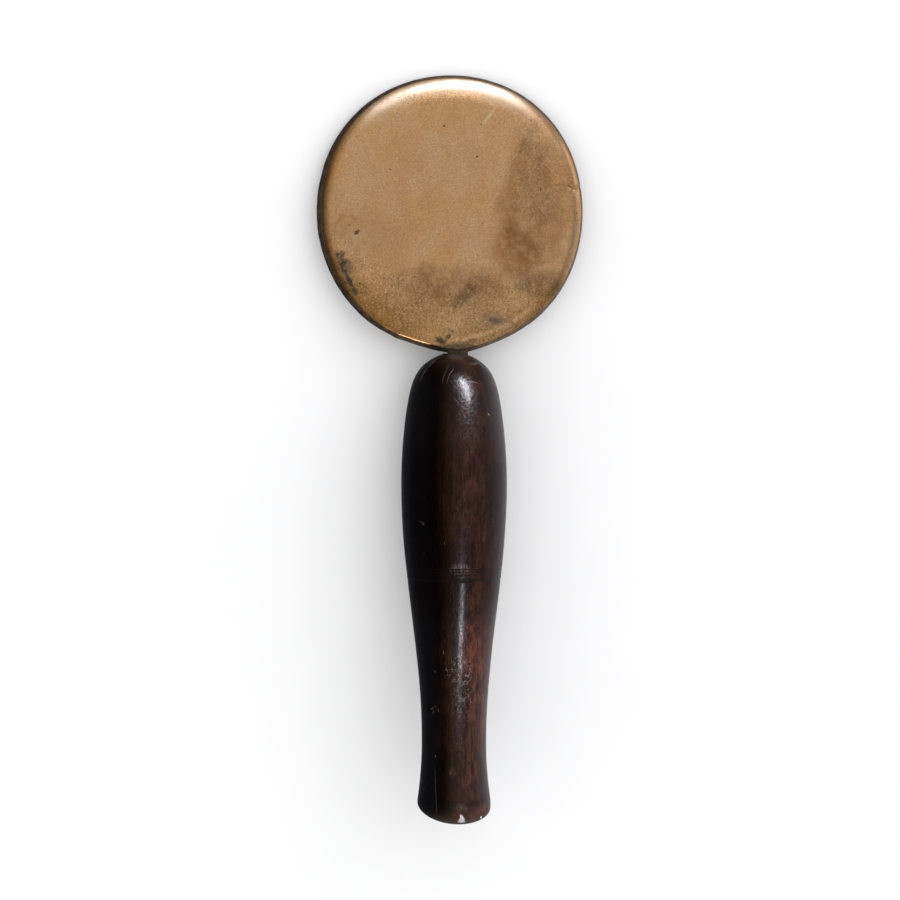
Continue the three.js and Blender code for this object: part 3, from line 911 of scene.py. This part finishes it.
def scratches_and_land_glint(s, near, along, fine, lines):
    """Where the wood is scratched or rubbed pale, with a painted glint on the lands between the
    scribed lines.
    """
    place = s.place
    scratch = 0.0
    for x, y, radius, half_width, strength, part in NOSE_CURVES:
        curve = s.arc(near, x, y, radius, half_width)
        scratch = s.most(scratch, s.times(curve, s.blob(place, *part), strength))
    grazed = s.blob(near, 7.6, -3.6, 2.4, 0.35, 14, 0.6)
    scratch = s.most(scratch, s.times(grazed, s.ramp(s.noise(place, 0.6, 3), 0.4, 0.6), 0.9))
    scratch = s.most(scratch, s.times(s.blob(near, 5.8, -10.5, 2.6, 0.16, -12, 0.5), 0.8))

    # a scribble below the middle
    scribble = s.noise(s.wander(place, 3.0, 0.8), 2.6, 2, 0.5)
    scribble = s.ramp(s.away(scribble, 0.5), 0.030, 0.010)
    spread = s.times(s.blob(near, 4.0, -122.0, 3.0, 9.0, 0, 0.5), 0.6)
    spread = s.most(s.blob(near, 1.6, -113.0, 4.8, 5.2, 0, 0.3), spread)
    scribble = s.times(scribble, spread, s.ramp(s.noise(place, 1.6, 3), 0.34, 0.50))
    scratch = s.most(scratch, scribble)

    # scuffs, and wood rubbed pale round the neck
    rubbed = s.noise(s.mapped(place, (3, 9, 1), scale=(1, 3, 1)), 1.3, 4, 0.7)
    rubbed = s.times(s.ramp(rubbed, 0.64, 0.74, 0.0, 0.5), s.ramp(along, 1.0, 0.0, 0.25, 1.0))
    top_rub = s.blob(near, 0.5, -0.6, 7.5, 1.1, 0, 0.6)
    top_rub = s.times(s.ramp(s.noise(place, 1.0, 4, 0.7), 0.45, 0.6), top_rub, 0.8)
    scratch = s.most(scratch, rubbed, top_rub)

    # a painted grey glint on the narrow lands between the scribed lines, broken by the grain
    land_glint = s.times(s.blob(place, 2.2, -77.4, 3.0, 1.9, 0, 0.6), s.ramp(lines, 0.55, 0.10))
    return s.most(scratch, s.times(land_glint, s.ramp(fine, 0.42, 0.58), 0.8))


def pale_marks(s, near, along, front):
    """Small pale chips and marks, rough inside at the foot, where they are also painted glints."""
    pale = 0.0
    for x, at, half_x, half_y, turn, strength in PALE_MARKS:
        pale = s.most(pale, s.times(s.blob(near, x, -at, half_x, half_y, turn, 0.3), strength))
    rough = s.ramp(s.noise(s.place, 0.5, 3, 0.7), 0.36, 0.56, 0.25, 1.0)
    return s.times(pale, front, s.blend(s.ramp(along, 158, 160), 1.0, rough))


def hardwood():
    s = Surface("hardwood_turned", handle_axes)
    place = s.place
    along = s.times(s.coordinate(place, "Y"), -1.0)
    front = s.ramp(s.coordinate(place, "Z"), -3.0, 3.0)
    near = s.wander(s.stretched(place, 1, 2.5, 1), 2.4, 0.5)
    near = s.stretched(near, 1, 0.4, 1)
    far = s.wander(place, 8.0, 2.0, detail=5)

    # long grain and pores run down the handle
    drawn = s.stretched(s.wander(place, 14.0, 0.7), 1, 16, 1)
    streak = s.noise(drawn, 1.5, 5, 0.65)
    fine = s.noise(s.stretched(place, 1, 14, 1), 0.42, 3, 0.6)
    pores = s.ramp(fine, 0.60, 0.70)
    colour = turned_wood(s, front, far, streak, fine)
    colour = s.mix(s.times(pores, 0.6), colour, PORE)

    # a painted dark reflection edge down the left of the belly, also pressed in as a faint groove; a
    # drying crack at the foot; dark scribed lines
    left_edge_line = s.ramp(s.away(s.coordinate(near, "X"), -16.6), 0.3, 0.1)
    left_edge_line = s.times(left_edge_line, s.ramp(along, 28, 34), s.ramp(along, 78, 70), front)
    colour = s.mix(s.times(left_edge_line, 0.8), colour, CRACK_AND_EDGE_DARK)
    bent = s.wander(place, 5.0, 0.2)
    crack = s.times(s.blob(bent, -6.5, -158.6, 0.13, 9.5, 2.5, 0.5), front)
    crack_side = s.times(s.blob(bent, -6.85, -158.6, 0.2, 9.5, 2.5, 0.5), front)
    colour = s.mix(s.times(crack_side, 0.8), colour, CRACK_AND_EDGE_DARK)
    colour = s.mix(s.times(crack, 0.5), colour, CRACK_LIP)
    lines = 0.0
    for at, half_width, _ in SCRIBED_LINES:
        lines = s.most(lines, s.ramp(s.away(along, at), 1.1 * half_width, 0.3 * half_width))
    colour = s.mix(s.times(lines, 0.75), colour, SCRIBED)

    # scratches, rubbed wood, and a painted glint on the lands between the scribed lines
    scratch = scratches_and_land_glint(s, near, along, fine, lines)
    colour = s.mix(s.times(scratch, front, 0.7), colour, SCRATCH_AND_GLINT)
    pale = pale_marks(s, near, along, front)
    # pale marks; at the foot they are also painted glints
    colour = s.mix(pale, colour, s.mix(s.ramp(along, 156, 162), PALE_WOOD, FOOT_CHIP_AND_GLINT))

    pebble = s.noise(s.stretched(place, 1, 1.7, 1), 0.62, 3, 0.6)
    crackle = s.cracks(s.stretched(s.wander(place, 1.2, 0.35), 1, 1.9, 1), 0.75, 0.10)
    roughness = s.plus(s.ramp(pebble, 0.3, 0.7, 0.09, 0.16), s.ramp(along, 6.5, 1.5, 0.0, 0.28))
    roughness = s.plus(roughness, s.ramp(along, 160.5, 163.5, 0.0, 0.25), s.times(crackle, 0.12))
    roughness = s.plus(roughness, s.times(s.most(pale, scratch), 0.2))
    relief = s.less(pebble, s.times(pores, 0.7), s.times(crackle, 0.75))
    relief = s.less(relief, s.times(s.most(crack, left_edge_line), 2.0))
    s.bump((streak, 0.010), (relief, 0.014))
    # the belly has lost more of its gloss than the two ends
    gloss = s.plus(s.ramp(along, 24, 42, 0.25, 0.14), s.ramp(along, 84, 100, 0.0, 0.11))
    return s.finish(colour, 0.0, roughness, gloss)


disc = make_disc()
disc.data.materials.append(bronze())
handle = make_handle()
handle.data.materials.append(hardwood())
for piece, node, slot in ((disc, "mirror_disc", "bronze"), (handle, "handle", "hardwood")):
    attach(piece, "root")
    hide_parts(node)

# ---- Camera ----

# lengths in metres, apart from the sensor and the view's centre, which are in millimetres
YAW = 7.5  # the camera stands this far to the left of the disc's own axis
CAMERA_DISTANCE = 1.4
CAMERA_CLIP = 0.05
SENSOR_WIDTH = 36
VIEW_WIDTH = 0.324
VIEW_CENTRE = (-1.44, -34.74)  # across and along the mirror, from the top of the handle's axis

view = laid @ Matrix.Rotation(math.radians(-YAW), 4, "Y")
right, up, towards = (Vector(view.col[i][:3]) for i in range(3))
target = handle_top + METRES * (right * VIEW_CENTRE[0] + up * VIEW_CENTRE[1])


def make_camera():
    data = bpy.data.cameras.new("camera")
    data.sensor_width = SENSOR_WIDTH
    data.lens = SENSOR_WIDTH * CAMERA_DISTANCE / VIEW_WIDTH
    data.clip_start = CAMERA_CLIP
    camera = bpy.data.objects.new("camera", data)
    camera.matrix_world = Matrix.Translation(target + towards * CAMERA_DISTANCE) @ view
    bpy.context.scene.collection.objects.link(camera)
    bpy.context.scene.camera = camera


# ---- Floor and studio ----

FLOOR_HALF = 3.0
PAPER_DULL, PAPER_BRIGHT = (0.86, 0.86, 0.86), (0.88, 0.88, 0.88)
LIGHT_DISTANCE = 1.7
STUDIO_DIFFUSE = (1.12, 1.12, 1.12)  # what a matt surface sees all round
LIGHT_COLOUR = (0.95, 0.97, 1.08)
PALE_WALL = (0.90, 0.90, 1.0)
DARK_WALL = (0.10, 0.10, 0.125)


def paper():
    s = Surface("floor_paper", Matrix.Scale(METRES, 4))
    cloud = s.ramp(s.noise(s.place, 60.0, 4), 0.3, 0.7)
    colour = s.mix(cloud, PAPER_DULL, PAPER_BRIGHT)
    s.bump((s.noise(s.place, 0.6, 3), 0.01))
    return s.finish(colour, 0.0, 0.9)


def make_floor():
    """A plain pale floor, which polished surfaces don't see."""
    corners = [(-1, -1), (1, -1), (1, 1), (-1, 1)]
    mesh = bpy.data.meshes.new("floor")
    points = [(FLOOR_HALF * x, FLOOR_HALF * y, 0) for x, y in corners]
    mesh.from_pydata(points, [], [(0, 1, 2, 3)])
    mesh.materials.append(paper())
    floor = bpy.data.objects.new("floor", mesh)
    bpy.context.scene.collection.objects.link(floor)
    floor.visible_glossy = False


def softbox(
    name, right_degrees, up_degrees, size, radiance,
    distance=LIGHT_DISTANCE, lit=None, gloss=True, roll=0,
):
    """An oval light in a direction counted from the camera's axis, facing the mirror.

    It makes either the highlights of a piece or its even light; with lit it reaches one piece only.
    """
    across, rise = math.radians(right_degrees), math.radians(up_degrees)
    heading = right * math.sin(across) * math.cos(rise) + up * math.sin(rise)
    heading += towards * math.cos(across) * math.cos(rise)
    data = bpy.data.lights.new(name, "AREA")
    data.shape = "ELLIPSE"
    data.color = LIGHT_COLOUR
    data.size, data.size_y = size
    data.energy = radiance * math.pi**2 * size[0] * size[1] / 4
    lamp = bpy.data.objects.new(name, data)
    side = up.cross(heading).normalized()
    facing = Matrix((side, heading.cross(side), heading)).transposed().to_4x4()
    facing = facing @ Matrix.Rotation(math.radians(roll), 4, "Z")
    lamp.matrix_world = Matrix.Translation(target + heading * distance) @ facing
    lamp.visible_glossy = gloss
    lamp.visible_diffuse = not gloss
    bpy.context.scene.collection.objects.link(lamp)
    if lit is not None:
        reached = bpy.data.collections.new(name + "_reaches")
        reached.objects.link(lit)
        lamp.light_linking.receiver_collection = reached


# What a polished surface sees from its far left (-1) to its far right (1).
STUDIO_GRADIENT = (
    (-1.00, (0.160, 0.160, 0.200)),
    (-0.85, (0.095, 0.095, 0.120)),
    (-0.70, (0.030, 0.028, 0.028)),
    (-0.56, (0.050, 0.040, 0.022)),
    (-0.46, (0.105, 0.085, 0.048)),
    (-0.35, (0.200, 0.168, 0.110)),
    (-0.20, (0.340, 0.300, 0.230)),
    (0.00, (0.470, 0.440, 0.395)),
    (0.27, (0.500, 0.490, 0.470)),
    (0.45, (0.470, 0.462, 0.448)),
    (0.70, (0.290, 0.288, 0.285)),
    (0.90, (0.480, 0.480, 0.490)),
)


def make_world():
    """An even pale studio, which polished surfaces see dark on the left and lighter to the right."""
    world = bpy.data.worlds.new("studio")
    world.use_nodes = True
    g = Graph(world.node_tree)
    heading = g.add("ShaderNodeTexCoord", {}, "Generated")

    def along(direction, start, end):
        """Goes from 0 to 1 as a heading's share of a direction goes from start to end."""
        share = g.vector_maths("DOT_PRODUCT", heading, direction, "Value")
        return g.ramp(share, start, end, interpolation="LINEAR")

    gradient = g.tree.nodes.new("ShaderNodeValToRGB")
    gradient.color_ramp.interpolation = "EASE"
    stops = gradient.color_ramp.elements
    while len(stops) < len(STUDIO_GRADIENT):
        stops.new(0.5)
    for stop, (position, colour) in zip(stops, STUDIO_GRADIENT):
        stop.position = (position + 1) / 2
        stop.color = (*colour, 1)
    g.put(gradient.inputs["Fac"], along(right, -1, 1))
    seen = gradient.outputs["Color"]

    # behind the mirror, a pale wall on the right and a dark one on the left
    pale_way = (right * 0.9 - towards * 0.4).normalized()
    seen = g.mix(along(pale_way, 0.72, 0.97), seen, PALE_WALL)
    dark_way = -(right * 0.8 + towards * 0.6)
    seen = g.mix(along(dark_way, 0.45, 0.80), seen, DARK_WALL)

    diffuse = g.add("ShaderNodeLightPath", {}, "Is Diffuse Ray")
    seen = g.mix(diffuse, seen, STUDIO_DIFFUSE)
    g.put(g.tree.nodes["Background"].inputs["Color"], seen)
    bpy.context.scene.world = world


make_camera()
make_floor()
make_world()
softbox("fill", 30, 25, (2.9, 2.9), 0.5, distance=2.2, gloss=False)
softbox("top_core", 20, 43, (0.58, 0.50), 7, lit=disc)
softbox("top_soft", 15, 21, (0.70, 0.30), 0.25, lit=disc)
softbox("top_glow", 17, 38, (1.30, 1.00), 0.9, distance=1.72, lit=disc)
softbox("side_glow", 40, 18, (0.40, 0.40), 0.25, lit=disc)
softbox("rim_glow", 59, 18, (0.36, 0.60), 0.65, lit=disc)
softbox("front_glow", 21, -13, (0.45, 0.45), 0.45, lit=disc)
softbox("foot_strip", -8, -65, (0.6, 0.5), 5, distance=1.5, lit=disc)
softbox("handle_key", 62, 5, (1.2, 1.2), 32, distance=2.0, lit=handle, gloss=False)
softbox("nose_light", 32.5, 34, (0.38, 0.90), 54, lit=handle, roll=36)
softbox("taper_light", 20.5, -18.8, (0.26, 0.25), 25, lit=handle)

bpy.context.scene.view_settings.view_transform = "Standard"
